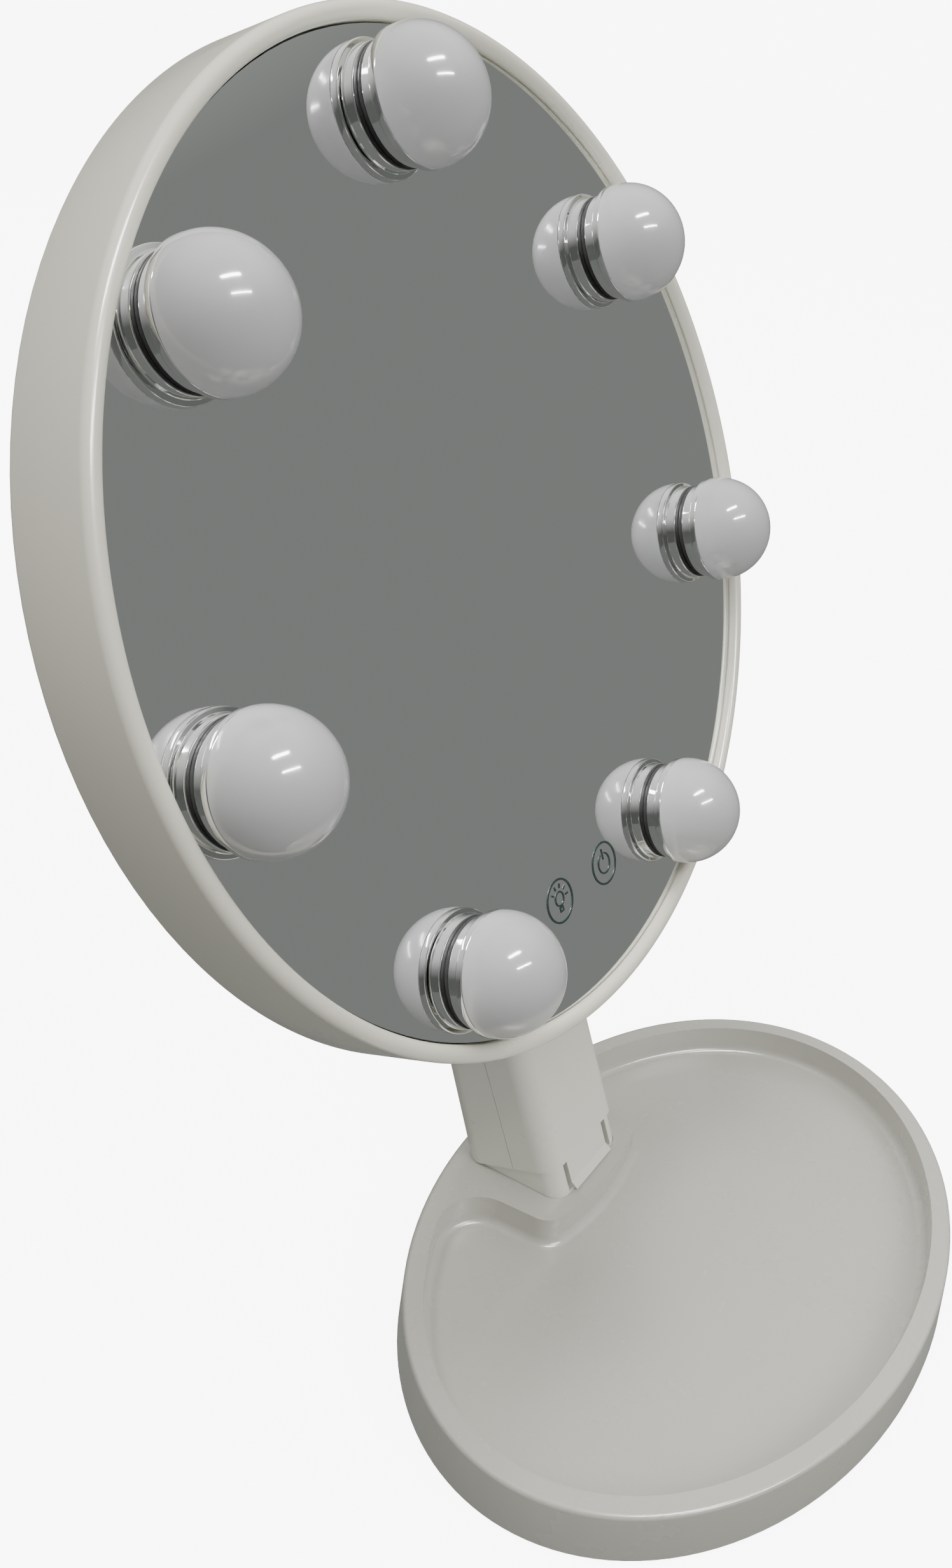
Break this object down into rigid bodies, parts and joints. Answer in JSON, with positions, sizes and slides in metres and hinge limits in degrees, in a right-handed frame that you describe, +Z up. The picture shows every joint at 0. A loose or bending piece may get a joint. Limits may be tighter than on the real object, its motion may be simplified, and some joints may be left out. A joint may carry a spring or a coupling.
{
  "type": "lighted vanity mirror",
  "caption": "Round tabletop vanity mirror with a ring of frosted bulbs on chrome collars, tilting on a leaning post that stands in an oval trinket tray.",
  "frame": {"origin": "on the table under the centre of the oval tray", "axes": "+Z up, +X to the right as seen by the user, who sits on the -Y side"},
  "size_m": [0.2476, 0.211, 0.3118],
  "materials": {
    "cream_plastic": "smooth, semi-gloss",
    "mirror": "silvered float glass",
    "opal": "opal diffuser, glossy",
    "chrome": "polished plating",
    "rubber": "matt",
    "steel": "zinc plated",
    "ink": "printed ink",
    "board": "solder resist",
    "white_board": "white solder resist",
    "tape": "foam tape",
    "grey_plastic": "moulded",
    "wire": "pvc sleeve",
    "cell": "sleeved can",
    "plate_steel": "powder coated",
    "washer": "acetal"
  },
  "bodies": {
    "base": {"base_tray": "cream_plastic", "ballast_plate": "steel", "base_plate": "plate_steel", "base_screws": "steel", "rubber_feet": "rubber", "foot_plug": "cream_plastic", "foot_screws": "steel", "post_front_shell": "cream_plastic", "post_rear_shell": "cream_plastic", "post_screws": "steel", "battery_cells": "cell", "battery_contacts": "steel", "power_inlet": "steel", "hinge_sleeve": "steel", "friction_washers": "washer"},
    "door": {"battery_door": "cream_plastic"},
    "head": {"hinge_yoke": "steel", "yoke_screws": "steel", "hinge_pin": "steel", "hinge_nut": "steel", "rear_cover": "cream_plastic", "housing_screws": "steel", "front_bezel": "cream_plastic", "mirror_glass": "mirror", "glass_tape": "tape", "carrier_plate": "grey_plastic", "carrier_screws": "steel", "touch_board": "board", "key_lamp": "ink", "key_power": "ink", "control_board": "board", "led_wiring": "wire", "bulb_nuts": "steel", "bulb_gaskets": "rubber", "bulb_collar_1": "chrome", "led_board_1": "white_board", "bulb_globe_1": "opal", "bulb_collar_2": "chrome", "led_board_2": "white_board", "bulb_globe_2": "opal", "bulb_collar_3": "chrome", "led_board_3": "white_board", "bulb_globe_3": "opal", "bulb_collar_4": "chrome", "led_board_4": "white_board", "bulb_globe_4": "opal", "bulb_collar_5": "chrome", "led_board_5": "white_board", "bulb_globe_5": "opal", "bulb_collar_6": "chrome", "led_board_6": "white_board", "bulb_globe_6": "opal", "bulb_collar_7": "chrome", "led_board_7": "white_board", "bulb_globe_7": "opal"}
  },
  "joints": [
    {"name": "head_tilt", "type": "hinge", "parent": "base", "child": "head", "pos_m": [0, 0.10675, 0.18469], "axis": [-1, 0, 0], "range_deg": [0, 45]},
    {"name": "battery_door_hinge", "type": "hinge", "parent": "base", "child": "door", "pos_m": [0, 0.07456, 0.04581], "axis": [-1, 0, 0], "range_deg": [0, 95]}
  ]
}
